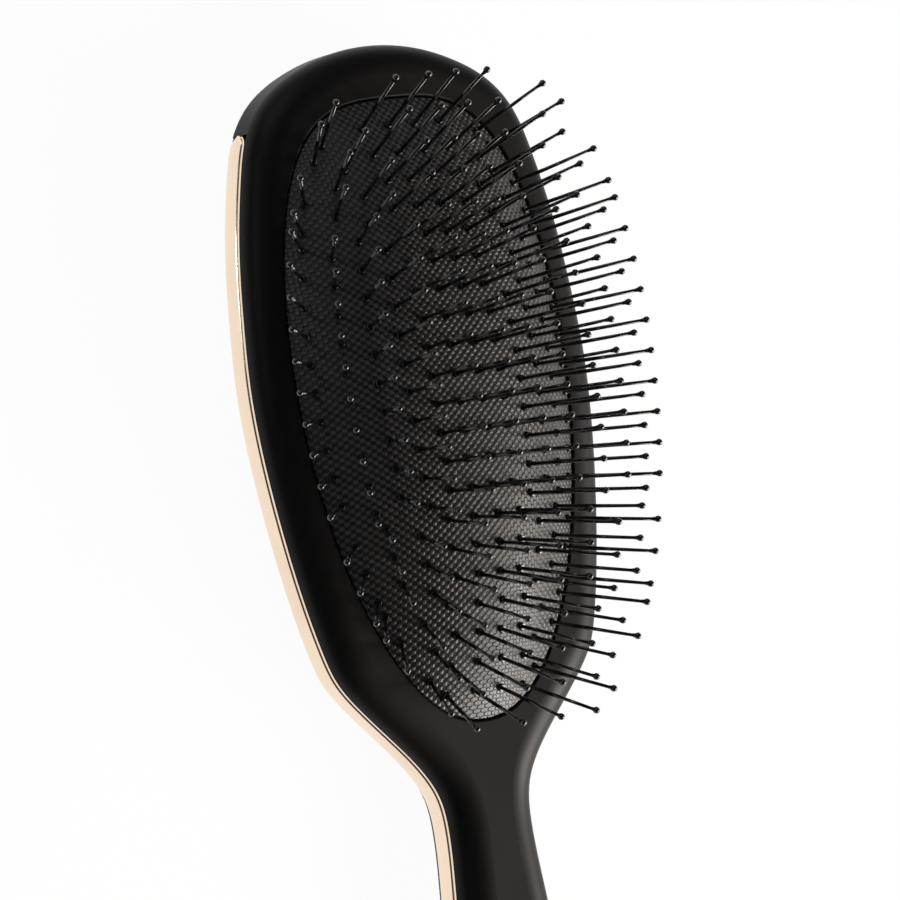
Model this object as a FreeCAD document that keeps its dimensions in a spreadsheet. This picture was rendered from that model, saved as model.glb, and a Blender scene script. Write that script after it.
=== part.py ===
"""Oval cushion brush: two body shells, a trim strip, a domed cushion, its clamp ring and rows of bristles.

The brush lies on its back. X runs across the head, Y along the brush towards the crown of the head and Z
up, the way the bristles point. The origin is on the flat back, at the middle of the brush's length.
"""

import FreeCAD
import Part
import Sketcher

import math
import os

# Driving sizes in millimetres: alias, value and what it measures.
SIZES = (
    ("brush_length", 228.0, "crown of the head to the end of the handle"),
    ("crown_reach", 67.7, "middle of the opening to the crown of the head"),
    ("head_width", 72.6, "widest part of the head, without the strip"),
    ("shoulder_reach", 46.5, "middle of the opening to the lower shoulders"),
    ("shoulder_width", 55.6, "across the lower shoulders"),
    ("neck_reach", 77.0, "middle of the opening to the narrowest part of the neck"),
    ("neck_width", 17.4, "narrowest part of the neck"),
    ("handle_width", 25.0, "widest part of the handle"),
    ("back_depth", 5.6, "flat back to the strip's lower edge"),
    ("trim_height", 5.0, "strip's lower edge to its upper edge"),
    ("crown_height", 4.4, "strip's upper edge to the opening's rim"),
    ("front_round", 5.8, "width of the rounded edge of the front"),
    ("back_step", 0.5, "how far the back is set in below the strip"),
    ("head_back_round", 13.5, "width of the rounded edge of the back, on the head"),
    ("handle_back_round", 7.5, "width of the rounded edge of the back, on the handle"),
    ("wall", 2.0, "wall of both shells"),
    ("trim_depth", 1.3, "how far the strip is let into the body"),
    ("trim_edge_step", 0.1, "how far the strip stands proud at its edges"),
    ("trim_bulge", 0.45, "how far the strip stands proud at its middle"),
    ("trim_clearance", 0.05, "gap behind and at the ends of the strip"),
    ("trim_end_reach", 53.7, "middle of the opening to the ends of the strip"),
    ("tongue_wall", 1.6, "wall of the tongues behind the strip"),
    ("opening_width", 58.8, "width of the cushion's opening"),
    ("opening_length", 115.0, "length of the cushion's opening"),
    ("cushion_gap", 0.4, "groove between the cushion and the rim"),
    ("cushion_set", 0.2, "rim to the foot of the dome"),
    ("dome_height", 11.5, "foot of the dome to its top"),
    ("rubber", 1.8, "thickness of the cushion"),
    ("flange_reach", 2.0, "opening's edge to the flange's edge"),
    ("flange_thickness", 1.5, "thickness of the cushion's flange"),
    ("flange_drop", 2.6, "rim to the top of the flange"),
    ("lip_width", 1.2, "width of the rim's lip on the flange"),
    ("ring_thickness", 2.0, "thickness of the clamp ring"),
    ("pin_length", 18.0, "cushion to the tip of a bristle"),
    ("pin_inset", 2.6, "opening's edge to the outer bristles"),
    ("row_pitch", 5.2, "one row of bristles to the next"),
    ("pin_spacing", 4.85, "one bristle to the next in a row"),
    ("pin_seat", 0.08, "cushion to the underside of a collar"),
    ("pin_head_diameter", 1.9, "head behind the cushion"),
    ("pin_head_thickness", 0.6, "head behind the cushion"),
    ("pin_head_gap", 0.15, "head to the inside of the cushion"),
    ("shank_diameter", 1.0, "shank in the cushion"),
    ("shank_clearance", 0.05, "gap round the shank in its hole"),
    ("collar_diameter", 1.6, "collar on the cushion"),
    ("collar_height", 0.6, "collar on the cushion"),
    ("shaft_root_diameter", 0.74, "shaft at its collar"),
    ("shaft_neck_diameter", 0.5, "shaft below its ball tip"),
    ("drop_length", 1.9, "neck of the shaft to the tip"),
    ("ball_diameter", 1.24, "ball tip"),
    ("post_diameter", 3.2, "posts of the front shell"),
    ("post_clearance", 0.05, "gap round a post in its socket"),
    ("post_end_gap", 0.6, "post's end to the floor of its socket"),
    ("socket_wall", 1.4, "wall of the sockets"),
    ("socket_top_gap", 1.0, "top of a socket to the front shell's roof"),
    ("standoff_diameter", 3.6, "standoffs under the clamp ring"),
    ("overrun", 2.0, "how far a cutting shape passes the surface it cuts"),
)

# Half outline of the body, right side, from the crown to the end of the handle.
# Each point is a share across and a share along the stretch that it belongs to.
CROWN_SHARES = (
    (0.253, 0.985), (0.482, 0.943), (0.665, 0.883), (0.792, 0.798),
    (0.868, 0.679), (0.937, 0.502), (0.981, 0.295), (1.0, 0.118),
)
FLANK_SHARES = ((0.918, 0.15), (0.729, 0.43), (0.482, 0.688), (0.212, 0.892), (0.0, 1.0))
NECK_SHARES = ((0.795, 0.18), (0.459, 0.41), (0.178, 0.62), (0.049, 0.77), (0.0, 1.0))
HANDLE_SHARES = ((0.156, 0.132), (0.594, 0.396), (0.97, 0.66), (0.94, 0.816))
HANDLE_END_SHARES = ((0.78, 0.936), (0.42, 0.984))

# The opening is an egg: its fullness and its lean towards the crown.
EGG_LEAN_SHARE = 0.13
EGG_FULL_SHARE = 0.78
EGG_FULL_LEAN_SHARE = 0.13
EGG_POINTS = 48

# The dome's rise, from its foot to its top, and the rings that it is drawn through.
DOME_POWER = 2.48
DOME_RING_SHARES = (1.0, 0.93, 0.82, 0.68, 0.52, 0.36, 0.2, 0.08)
DOME_SIDE_SHARE = 0.72
DOME_FOOT_SHARE = 0.7

# Turns of the rounded edges, in degrees, and points along each ring.
EDGE_TURNS = (0, 14, 28, 44, 60, 76, 90)
RING_POINTS = 80
RING_SPANS = 16
TRIM_LEVEL_SHARES = (0.0, 0.2, 0.5, 0.8, 1.0)

# Every other column from the third outwards is moved along by a share of the row pitch.
STAGGER_SHARE = -0.45
STAGGER_COLUMNS = (2, 4)
BALL_TURN = 30
HANDLE_POST_SHARES = (0.12, 0.5, 0.86)
STANDOFF_TURNS = (32, 70, 108, 146)
BISECTIONS = 50
SLOPE_STEP_SHARE = 0.001


class Sizes:
    """The sizes as the sheet holds them, and the heights and places that follow from them."""

    def __init__(self, sheet):
        for alias, _, _ in SIZES:
            setattr(self, alias, float(sheet.get(alias)))
        self.pad_y = self.brush_length / 2 - self.crown_reach
        self.trim_low = self.back_depth
        self.trim_top = self.trim_low + self.trim_height
        self.parting = self.trim_low + self.trim_height / 2
        self.rim = self.trim_top + self.crown_height
        self.flange_top = self.rim - self.flange_drop
        self.flange_low = self.flange_top - self.flange_thickness
        self.ring_low = self.flange_low - self.ring_thickness
        self.dome_foot = self.rim - self.cushion_set
        self.tongue_inset = self.trim_depth + self.tongue_wall
        self.handle_end_reach = self.brush_length - self.crown_reach
        self.inner_inset = self.cushion_gap + DOME_SIDE_SHARE * self.rubber
        self.pin_foot = self.rubber + self.pin_head_gap + self.pin_head_thickness - self.pin_seat


def make_sheet(doc):
    """Write the sizes to a sheet, one alias a row."""
    sheet = doc.addObject("Spreadsheet::Sheet", "sizes")
    for row, (alias, value, note) in enumerate(SIZES, start=1):
        sheet.set(f"A{row}", alias)
        sheet.set(f"B{row}", str(value))
        sheet.set(f"C{row}", note)
        sheet.setAlias(f"B{row}", alias)
    doc.recompute()
    return sheet


def feature(doc, name, shape):
    """Hold a shape that was made with Part's own functions."""
    obj = doc.addObject("Part::Feature", name)
    obj.Shape = shape
    return obj


def fuse(doc, name, shapes):
    """Join objects into one."""
    obj = doc.addObject("Part::MultiFuse", name)
    obj.Shapes = shapes
    return obj


def cut(doc, name, base, tool):
    """Cut one object with another."""
    obj = doc.addObject("Part::Cut", name)
    obj.Base = base
    obj.Tool = tool
    return obj


def extrude(doc, name, face, height):
    """Extrude a flat face upwards by a height given as an expression."""
    profile = feature(doc, name + "_face", face)
    obj = doc.addObject("Part::Extrusion", name)
    obj.Base = profile
    obj.DirMode = "Custom"
    obj.Dir = FreeCAD.Vector(0, 0, 1)
    obj.Solid = True
    obj.setExpression("LengthFwd", height)
    return obj


def closed_curve(points):
    """A smooth closed curve through points, with evenly spaced knots so that rings match each other."""
    knots = [step / len(points) for step in range(len(points) + 1)]
    curve = Part.BSplineCurve()
    curve.interpolate(Points=points, PeriodicFlag=True, Parameters=knots)
    return curve


def span_ends():
    """Start and end of each of the equal spans that a ring is divided into."""
    return [(span / RING_SPANS, (span + 1) / RING_SPANS) for span in range(RING_SPANS)]


def closed_wire(points):
    """The closed curve through points as a wire, divided into spans."""
    curve = closed_curve(points)
    return Part.Wire([curve.toShape(start, end) for start, end in span_ends()])


def skin(rings):
    """A smooth solid through rings with equally many points, flat at its first and last ring."""
    curves = [closed_curve(ring) for ring in rings]
    knots = [step / (len(rings) - 1) for step in range(len(rings))]
    columns = []
    for poles in zip(*[curve.getPoles() for curve in curves]):
        column = Part.BSplineCurve()
        column.interpolate(Points=list(poles), Parameters=knots)
        columns.append(column)
    around, along = curves[0], columns[0]
    surface = Part.BSplineSurface()
    surface.buildFromPolesMultsKnots(
        [column.getPoles() for column in columns],
        around.getMultiplicities(),
        along.getMultiplicities(),
        around.getKnots(),
        along.getKnots(),
        True,
        False,
        around.Degree,
        along.Degree,
    )
    faces = [flat_face(rings[0]), flat_face(rings[-1])]
    for start, end in span_ends():
        patch = surface.copy()
        patch.segment(start, end, 0, 1)
        faces.append(patch.toShape())
    shell = Part.Shell(faces)
    shell.sewShape()
    solid = Part.Solid(shell)
    if solid.Volume < 0:
        solid.reverse()
    return solid


def flat_face(points):
    """The flat face inside a ring of points."""
    return Part.Face(closed_wire(points))


def ring_face(outer, inner):
    """The flat face between two rings of points."""
    return Part.makeFace([closed_wire(outer), closed_wire(inner)], "Part::FaceMakerBullseye")


def half_outline(s):
    """Right half of the body's outline, from the crown to the end of the handle, seen from the opening."""
    head = s.head_width / 2
    shoulder = s.shoulder_width / 2
    neck = s.neck_width / 2
    handle = s.handle_width / 2
    neck_run = s.neck_reach - s.shoulder_reach
    handle_run = s.handle_end_reach - s.neck_reach
    points = [(0, s.crown_reach)]
    for across, along in CROWN_SHARES:
        points.append((across * head, along * s.crown_reach))
    for across, along in FLANK_SHARES:
        points.append((shoulder + across * (head - shoulder), -along * s.shoulder_reach))
    for across, along in NECK_SHARES:
        points.append((neck + across * (shoulder - neck), -s.shoulder_reach - along * neck_run))
    for across, along in HANDLE_SHARES:
        points.append((neck + across * (handle - neck), -s.neck_reach - along * handle_run))
    for across, along in HANDLE_END_SHARES:
        points.append((across * handle, -s.neck_reach - along * handle_run))
    points.append((0, -s.handle_end_reach))
    return points


class Outline:
    """The body's outline, sampled once, with insets of it at any height."""

    def __init__(self, s):
        right = half_outline(s)
        left = [(-x, y) for x, y in reversed(right[1:-1])]
        curve = Part.BSplineCurve()
        corners = [FreeCAD.Vector(x, y + s.pad_y, 0) for x, y in right + left]
        curve.interpolate(Points=corners, PeriodicFlag=True)
        edge = curve.toShape()
        self.points = edge.discretize(RING_POINTS + 1)[:-1]
        self.normals = []
        for point in self.points:
            tangent = curve.tangent(curve.parameter(point))[0]
            self.normals.append(FreeCAD.Vector(tangent.y, -tangent.x, 0))
        if sum(n.x * p.x for n, p in zip(self.normals, self.points)) > 0:
            self.normals = [n * -1 for n in self.normals]

    def inset(self, depth, height):
        """Outline drawn in by a depth, a number or a rule of Y, at a height."""
        moved = []
        for point, normal in zip(self.points, self.normals):
            step = depth(point.y) if callable(depth) else depth
            moved.append(point + normal * step + FreeCAD.Vector(0, 0, height))
        return moved


def back_round(s, y):
    """Width of the back's rounded edge along the brush: wide on the head, narrow on the handle."""
    along = (s.pad_y - s.shoulder_reach - y) / (s.neck_reach - s.shoulder_reach)
    along = min(max(along, 0), 1)
    blend = along * along * (3 - 2 * along)
    return s.head_back_round + (s.handle_back_round - s.head_back_round) * blend


def front_crown(s, outline, base, wall):
    """The front above the strip as a solid, or the space under it with its own inset and wall."""
    rings = []
    for turn in EDGE_TURNS:
        angle = math.radians(turn)
        inset = base + (s.front_round - base) * (1 - math.cos(angle))
        rings.append(outline.inset(inset, s.trim_top + (s.crown_height - wall) * math.sin(angle)))
    return skin(rings)


def back_bowl(s, outline, base, wall):
    """The back below the strip as a solid, or the space in it with its own inset and wall."""
    rings = []
    for turn in EDGE_TURNS:
        angle = math.radians(turn)

        def inset(y, reach=1 - math.cos(angle)):
            return base + (back_round(s, y) - base) * reach

        rings.append(outline.inset(inset, s.trim_low - (s.trim_low - wall) * math.sin(angle)))
    return skin(rings)


def egg_half_width(half_width, half_length, y):
    """Half width of an egg at a place along it."""
    along = min(max(y / half_length, -1), 1)
    power = EGG_FULL_SHARE - EGG_FULL_LEAN_SHARE * along
    return half_width * math.sqrt(1 - along * along) ** power * (1 + EGG_LEAN_SHARE * along)


def egg(s, grow, height, scale=1):
    """The opening's outline, grown by a margin and scaled about its middle, at a height."""
    half_width = s.opening_width / 2 + grow
    half_length = s.opening_length / 2 + grow
    points = []
    for step in range(EGG_POINTS):
        turn = 2 * math.pi * step / EGG_POINTS
        y = half_length * math.cos(turn)
        x = math.copysign(egg_half_width(half_width, half_length, y), math.sin(turn))
        points.append(FreeCAD.Vector(scale * x, scale * y + s.pad_y, height))
    return points


def dome_height_at(s, x, y):
    """Height of the cushion's outer face over a place in the opening, seen from the opening's middle."""
    half_width = s.opening_width / 2 - s.cushion_gap
    half_length = s.opening_length / 2 - s.cushion_gap
    low, high = SLOPE_STEP_SHARE, 2
    for _ in range(BISECTIONS):
        scale = (low + high) / 2
        reach = scale * egg_half_width(half_width, half_length, y / scale)
        inside = abs(y) < scale * half_length and abs(x) < reach
        low, high = (low, scale) if inside else (scale, high)
    return s.dome_foot + s.dome_height * (1 - high**DOME_POWER)


def dome_normal(s, x, y):
    """Direction square to the cushion's outer face over a place in the opening."""
    step = SLOPE_STEP_SHARE * s.opening_width
    slope_x = (dome_height_at(s, x + step, y) - dome_height_at(s, x - step, y)) / (2 * step)
    slope_y = (dome_height_at(s, x, y + step) - dome_height_at(s, x, y - step)) / (2 * step)
    return FreeCAD.Vector(-slope_x, -slope_y, 1).normalize()


def dome_solid(s, grow, foot, height):
    """A dome over the opening's outline, grown by a margin."""
    rings = []
    for share in DOME_RING_SHARES:
        rings.append(egg(s, grow, foot + height * (1 - share**DOME_POWER), share))
    return skin(rings)


def row_places(s):
    """Feet of the bristles on the cushion, row by row from the neck to the crown."""
    half_width = s.opening_width / 2 - s.pin_inset
    half_length = s.opening_length / 2 - s.pin_inset
    rows_each_way = int(half_length / s.row_pitch)
    rows = []
    for row in range(-rows_each_way, rows_each_way + 1):
        row_y = row * s.row_pitch
        columns = max(1, round(egg_half_width(half_width, half_length, row_y) / s.pin_spacing + 1 / 2))
        places = []
        for column in range(columns):
            y = row_y + (STAGGER_SHARE * s.row_pitch if column in STAGGER_COLUMNS else 0)
            x = egg_half_width(half_width, half_length, y) * (2 * column + 1) / (2 * columns - 1)
            places += [(-x, y), (x, y)]
        rows.append(places)
    return rows


def pin_placement(s, x, y):
    """Placement of a bristle whose foot is over a place in the opening."""
    normal = dome_normal(s, x, y)
    foot = FreeCAD.Vector(x, y + s.pad_y, dome_height_at(s, x, y)) - normal * s.pin_foot
    return FreeCAD.Placement(foot, FreeCAD.Rotation(FreeCAD.Vector(0, 0, 1), normal))


def plane_of(body, role):
    """One of a body's origin planes."""
    return next(plane for plane in body.Origin.OriginFeatures if plane.Role == role)


def make_pin(doc):
    """One bristle, turned about Z from the underside of its head."""
    body = doc.addObject("PartDesign::Body", "bristle_pin")
    sketch = body.newObject("Sketcher::SketchObject", "pin_profile")
    sketch.AttachmentSupport = (plane_of(body, "XZ_Plane"), [""])
    sketch.MapMode = "FlatFace"
    head_top = "sizes.pin_head_thickness"
    collar_low = f"({head_top} + sizes.pin_head_gap + sizes.rubber)"
    collar_top = f"({collar_low} + sizes.collar_height)"
    tip = f"({collar_low} + sizes.pin_length)"
    ball_radius = "sizes.ball_diameter / 2"
    ball = f"({tip} - {ball_radius})"
    corners = (
        ("sizes.pin_head_diameter / 2", None),
        ("sizes.pin_head_diameter / 2", head_top),
        ("sizes.shank_diameter / 2", head_top),
        ("sizes.shank_diameter / 2", collar_low),
        ("sizes.collar_diameter / 2", collar_low),
        ("sizes.collar_diameter / 2", collar_top),
        ("sizes.shaft_root_diameter / 2", collar_top),
        ("sizes.shaft_neck_diameter / 2", f"{tip} - sizes.drop_length"),
        (f"{ball_radius} * cos({BALL_TURN} deg)", f"{ball} - {ball_radius} * sin({BALL_TURN} deg)"),
    )
    places = [FreeCAD.Vector(0, 0, 0)]
    for across, along in corners:
        x = sketch.evalExpression(across)
        y = sketch.evalExpression(along) if along else 0
        places.append(FreeCAD.Vector(x, y, 0))
    top = FreeCAD.Vector(0, sketch.evalExpression(tip), 0)
    centre = FreeCAD.Vector(0, sketch.evalExpression(ball), 0)
    for start, end in zip(places, places[1:]):
        sketch.addGeometry(Part.LineSegment(start, end))
    circle = Part.Circle(centre, FreeCAD.Vector(0, 0, 1), top.y - centre.y)
    sketch.addGeometry(Part.ArcOfCircle(circle, -math.radians(BALL_TURN), math.pi / 2))
    sketch.addGeometry(Part.LineSegment(top, places[0]))
    lines = len(places) - 1
    arc, axis = lines, lines + 1
    for line in range(lines - 1):
        sketch.addConstraint(Sketcher.Constraint("Coincident", line, 2, line + 1, 1))
    sketch.addConstraint(Sketcher.Constraint("Coincident", lines - 1, 2, arc, 1))
    sketch.addConstraint(Sketcher.Constraint("Coincident", arc, 2, axis, 1))
    sketch.addConstraint(Sketcher.Constraint("Coincident", axis, 2, 0, 1))
    sketch.addConstraint(Sketcher.Constraint("Coincident", 0, 1, -1, 1))
    sketch.addConstraint(Sketcher.Constraint("Vertical", axis))
    sketch.addConstraint(Sketcher.Constraint("Horizontal", 0))
    sketch.addConstraint(Sketcher.Constraint("PointOnObject", arc, 3, -2))
    for line, ((across, along), place) in enumerate(zip(corners, places[1:])):
        bind(sketch, "DistanceX", line, 2, place.x, across)
        if along:
            bind(sketch, "DistanceY", line, 2, place.y, along)
    bind(sketch, "DistanceY", arc, 3, centre.y, ball)
    turned = body.newObject("PartDesign::Revolution", "pin_turned")
    turned.Profile = sketch
    turned.ReferenceAxis = (sketch, ["V_Axis"])
    turned.Angle = 360
    doc.recompute()
    return body


def bind(sketch, kind, line, end, value, expression):
    """Fix a point's distance from the sketch's origin to an expression."""
    index = sketch.addConstraint(Sketcher.Constraint(kind, -1, 1, line, end, value))
    sketch.setExpression(f"Constraints[{index}]", expression)


def post_places(s):
    """Places of the snap posts along the handle."""
    handle_run = s.handle_end_reach - s.neck_reach
    return [(0, s.pad_y - s.neck_reach - share * handle_run) for share in HANDLE_POST_SHARES]


def cylinder(doc, name, place, radius, low, high):
    """An upright cylinder whose radius and heights are expressions."""
    obj = doc.addObject("Part::Cylinder", name)
    obj.setExpression("Radius", radius)
    obj.setExpression("Height", f"({high}) - ({low})")
    obj.setExpression("Placement.Base.z", low)
    obj.Placement.Base.x, obj.Placement.Base.y = place
    return obj


def box_beyond(doc, s, name, start, end):
    """A block across the whole brush between two places along it."""
    shape = Part.makeBox(
        2 * s.head_width,
        end - start,
        2 * s.rim,
        FreeCAD.Vector(-s.head_width, start, -s.rim / 2),
    )
    return feature(doc, name, shape)


def back_foot(s, outline, place, radius):
    """Greatest height of the back's outer face under a round foot."""
    edge = closed_wire(outline.inset(0, 0))
    depth = edge.distToShape(Part.Vertex(place[0], place[1], 0))[0] - radius
    reach = min(depth / back_round(s, place[1]), 1)
    return s.trim_low * (1 - math.sin(math.acos(1 - reach)))


def socket_foot(s, outline, place):
    """Greatest height of the back's outer face under a socket."""
    return back_foot(s, outline, place, s.post_diameter / 2 + s.post_clearance + s.socket_wall)


def make_front_shell(doc, s, outline):
    """Front shell: crowned margin, opening with its lip, tongue behind the strip, top skirt and posts."""
    crown = feature(doc, "front_crown", front_crown(s, outline, 0, 0))
    edge = extrude(doc, "front_edge", flat_face(outline.inset(0, s.trim_low)), "sizes.trim_height")
    block = fuse(doc, "front_block", [crown, edge])
    space = feature(doc, "front_space", front_crown(s, outline, s.tongue_inset, s.wall))
    bore_face = flat_face(outline.inset(s.tongue_inset, s.trim_low - s.overrun))
    bore = extrude(doc, "front_bore", bore_face, "sizes.trim_height + sizes.overrun")
    hollow = cut(doc, "front_hollow", block, fuse(doc, "front_cavity", [space, bore]))
    step_face = flat_face(outline.inset(s.trim_depth - s.trim_clearance, s.trim_low - s.overrun))
    step = extrude(doc, "front_step", step_face, "sizes.trim_height / 2 + sizes.overrun")
    stepped = cut(doc, "front_stepped", hollow, step)
    groove_face = ring_face(outline.inset(-s.overrun, s.trim_low), outline.inset(s.trim_depth, s.trim_low))
    groove_ring = extrude(doc, "groove_ring", groove_face, "sizes.trim_height")
    groove_end = box_beyond(doc, s, "groove_end", s.pad_y + s.trim_end_reach, s.brush_length)
    grooved = cut(doc, "front_grooved", stepped, cut(doc, "trim_groove", groove_ring, groove_end))
    opening_face = flat_face(egg(s, 0, s.flange_top - s.overrun))
    opening = extrude(doc, "opening_cut", opening_face, "sizes.flange_drop + 2 * sizes.overrun")
    open_front = cut(doc, "front_open", grooved, opening)
    lip_face = ring_face(egg(s, s.lip_width, s.flange_top), egg(s, 0, s.flange_top))
    lip = extrude(doc, "rim_lip", lip_face, "sizes.flange_drop - sizes.wall / 2")
    posts = []
    roof = "sizes.back_depth + sizes.trim_height + sizes.crown_height - sizes.wall / 2"
    for number, place in enumerate(post_places(s), start=1):
        low = f"{socket_foot(s, outline, place)} + sizes.wall + sizes.post_end_gap"
        posts.append(cylinder(doc, f"snap_post_{number}", place, "sizes.post_diameter / 2", low, roof))
    return fuse(doc, "front_shell", [open_front, lip] + posts)


def standoff_places(s):
    """Places of the standoffs, under the middle of the clamp ring."""
    grow = (s.flange_reach - s.inner_inset) / 2
    half_width = s.opening_width / 2 + grow
    half_length = s.opening_length / 2 + grow
    places = []
    for turn in STANDOFF_TURNS:
        y = half_length * math.cos(math.radians(turn))
        x = egg_half_width(half_width, half_length, y)
        places += [(-x, y + s.pad_y), (x, y + s.pad_y)]
    return places


def make_back_shell(doc, s, outline):
    """Back shell: rounded back, tongue behind the strip, sockets for the posts and standoffs."""
    bowl = feature(doc, "back_bowl", back_bowl(s, outline, s.back_step, 0))
    tongue_face = flat_face(outline.inset(s.trim_depth, s.trim_low))
    tongue = extrude(doc, "back_tongue", tongue_face, "sizes.trim_height / 2")
    block = fuse(doc, "back_block", [bowl, tongue])
    space = feature(doc, "back_space", back_bowl(s, outline, s.tongue_inset, s.wall))
    bore_face = flat_face(outline.inset(s.tongue_inset, s.trim_low))
    mouth = extrude(doc, "back_mouth", bore_face, "sizes.trim_height / 2 + sizes.overrun")
    hollow = cut(doc, "back_hollow", block, fuse(doc, "back_cavity", [space, mouth]))
    sockets = []
    bores = []
    bore = "sizes.post_diameter / 2 + sizes.post_clearance"
    tube = f"{bore} + sizes.socket_wall"
    socket_top = "sizes.back_depth + sizes.trim_height + sizes.crown_height"
    socket_top += " - sizes.wall - sizes.socket_top_gap"
    top = f"{socket_top} + sizes.overrun"
    for number, place in enumerate(post_places(s), start=1):
        foot = socket_foot(s, outline, place)
        low = f"{foot} + sizes.wall / 2"
        sockets.append(cylinder(doc, f"socket_{number}", place, tube, low, socket_top))
        bores.append(cylinder(doc, f"socket_bore_{number}", place, bore, f"{foot} + sizes.wall", top))
    ring_low = "sizes.back_depth + sizes.trim_height + sizes.crown_height - sizes.flange_drop"
    ring_low += " - sizes.flange_thickness - sizes.ring_thickness"
    standoffs = []
    radius = "sizes.standoff_diameter / 2"
    for number, place in enumerate(standoff_places(s), start=1):
        foot = f"{back_foot(s, outline, place, s.standoff_diameter / 2)} + sizes.wall / 2"
        standoffs.append(cylinder(doc, f"standoff_{number}", place, radius, foot, ring_low))
    whole = fuse(doc, "back_whole", [hollow] + sockets + standoffs)
    bore_group = fuse(doc, "socket_bores", bores)
    return cut(doc, "back_shell", whole, bore_group)


def make_trim_band(doc, s, outline):
    """Plated strip round the body below the front shell, proud of it and bowed across its width."""
    rings = []
    for share in TRIM_LEVEL_SHARES:
        bow = 1 - (2 * share - 1) ** 2
        proud = s.trim_edge_step + (s.trim_bulge - s.trim_edge_step) * bow
        rings.append(outline.inset(-proud, s.trim_low + share * s.trim_height))
    block = feature(doc, "trim_block", skin(rings))
    core_face = flat_face(outline.inset(s.trim_depth - s.trim_clearance, s.trim_low - s.overrun))
    core = extrude(doc, "trim_core", core_face, "sizes.trim_height + 2 * sizes.overrun")
    ring = cut(doc, "trim_ring", block, core)
    start = s.pad_y + s.trim_end_reach - s.trim_clearance
    beyond = box_beyond(doc, s, "trim_end_cut", start, s.brush_length)
    return cut(doc, "trim_band", ring, beyond)


def make_cushion(doc, s, rows):
    """Domed cushion with its flange and a hole for each bristle."""
    dome = feature(doc, "dome_outer", dome_solid(s, -s.cushion_gap, s.dome_foot, s.dome_height))
    side_face = flat_face(egg(s, -s.cushion_gap, s.flange_low))
    side_height = "sizes.flange_thickness + sizes.flange_drop - sizes.cushion_set"
    side = extrude(doc, "cushion_side", side_face, side_height)
    flange_face = flat_face(egg(s, s.flange_reach, s.flange_low))
    flange = extrude(doc, "cushion_flange", flange_face, "sizes.flange_thickness")
    whole = fuse(doc, "cushion_whole", [dome, side, flange])
    inner_foot = s.dome_foot - DOME_FOOT_SHARE * s.rubber
    inner_height = s.dome_height - (1 - DOME_FOOT_SHARE) * s.rubber
    hollow_dome = feature(doc, "dome_inner", dome_solid(s, -s.inner_inset, inner_foot, inner_height))
    hollow_face = flat_face(egg(s, -s.inner_inset, s.flange_low - s.overrun))
    hollow_height = f"sizes.overrun + {side_height} - {DOME_FOOT_SHARE} * sizes.rubber"
    hollow_side = extrude(doc, "hollow_side", hollow_face, hollow_height)
    hollow = fuse(doc, "cushion_hollow", [hollow_dome, hollow_side])
    blank = cut(doc, "cushion_blank", whole, hollow)
    radius = s.shank_diameter / 2 + s.shank_clearance
    holes = []
    for x, y in [place for row in rows for place in row]:
        hole = Part.makeCylinder(radius, s.rubber + 2 * s.overrun)
        hole.Placement = pin_placement(s, x, y)
        holes.append(hole)
    doc.recompute()
    return feature(doc, "cushion", blank.Shape.cut(holes))


def make_retainer_ring(doc, s):
    """Oval ring that clamps the flange from behind."""
    face = ring_face(egg(s, s.flange_reach, s.ring_low), egg(s, -s.inner_inset, s.ring_low))
    return extrude(doc, "retainer_ring", face, "sizes.ring_thickness")


def make_rows(doc, s, rows, pin):
    """The bristles, one object a row, each a group of separate pins."""
    objects = []
    for number, places in enumerate(rows, start=1):
        pins = []
        for x, y in places:
            shape = pin.Shape.copy()
            shape.Placement = pin_placement(s, x, y)
            pins.append(shape)
        objects.append(feature(doc, f"bristle_row_{number:02d}", Part.makeCompound(pins)))
    return objects


def check(doc, nodes):
    """Stop if any object failed or any piece has no valid shape."""
    for obj in doc.Objects:
        if "Invalid" in obj.State or "Error" in obj.State:
            raise RuntimeError(f"{obj.Label} did not rebuild: {obj.State}")
    for node in nodes:
        if node.Shape.isNull() or not node.Shape.isValid():
            raise RuntimeError(f"{node.Label} has no valid shape")
        print(node.Label, "solids", len(node.Shape.Solids), "volume", round(node.Shape.Volume, 1))


def main():
    """Build the brush and write each piece to its own file."""
    doc = FreeCAD.newDocument("cushion_brush")
    s = Sizes(make_sheet(doc))
    outline = Outline(s)
    rows = row_places(s)
    pin = make_pin(doc)
    nodes = [
        make_front_shell(doc, s, outline),
        make_back_shell(doc, s, outline),
        make_trim_band(doc, s, outline),
        make_cushion(doc, s, rows),
        make_retainer_ring(doc, s),
    ]
    nodes += make_rows(doc, s, rows, pin)
    doc.recompute()
    check(doc, nodes)
    os.makedirs("parts", exist_ok=True)
    for node in nodes:
        node.Shape.exportStep(f"parts/{node.Label}.step")


main()
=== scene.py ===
"""An oval cushion brush for detangling hair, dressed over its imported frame.

Lengths are in metres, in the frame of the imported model: the flat back lies on the floor, the handle points
along -Y and the bristles point along +Z.
"""

from __future__ import annotations

import logging
import math
from abc import ABC, abstractmethod
from collections.abc import Iterable, Sequence
from dataclasses import dataclass, field
from enum import Enum
from functools import cached_property

import bmesh
import bpy
import numpy as np
from mathutils import Euler, Matrix, Vector

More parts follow.
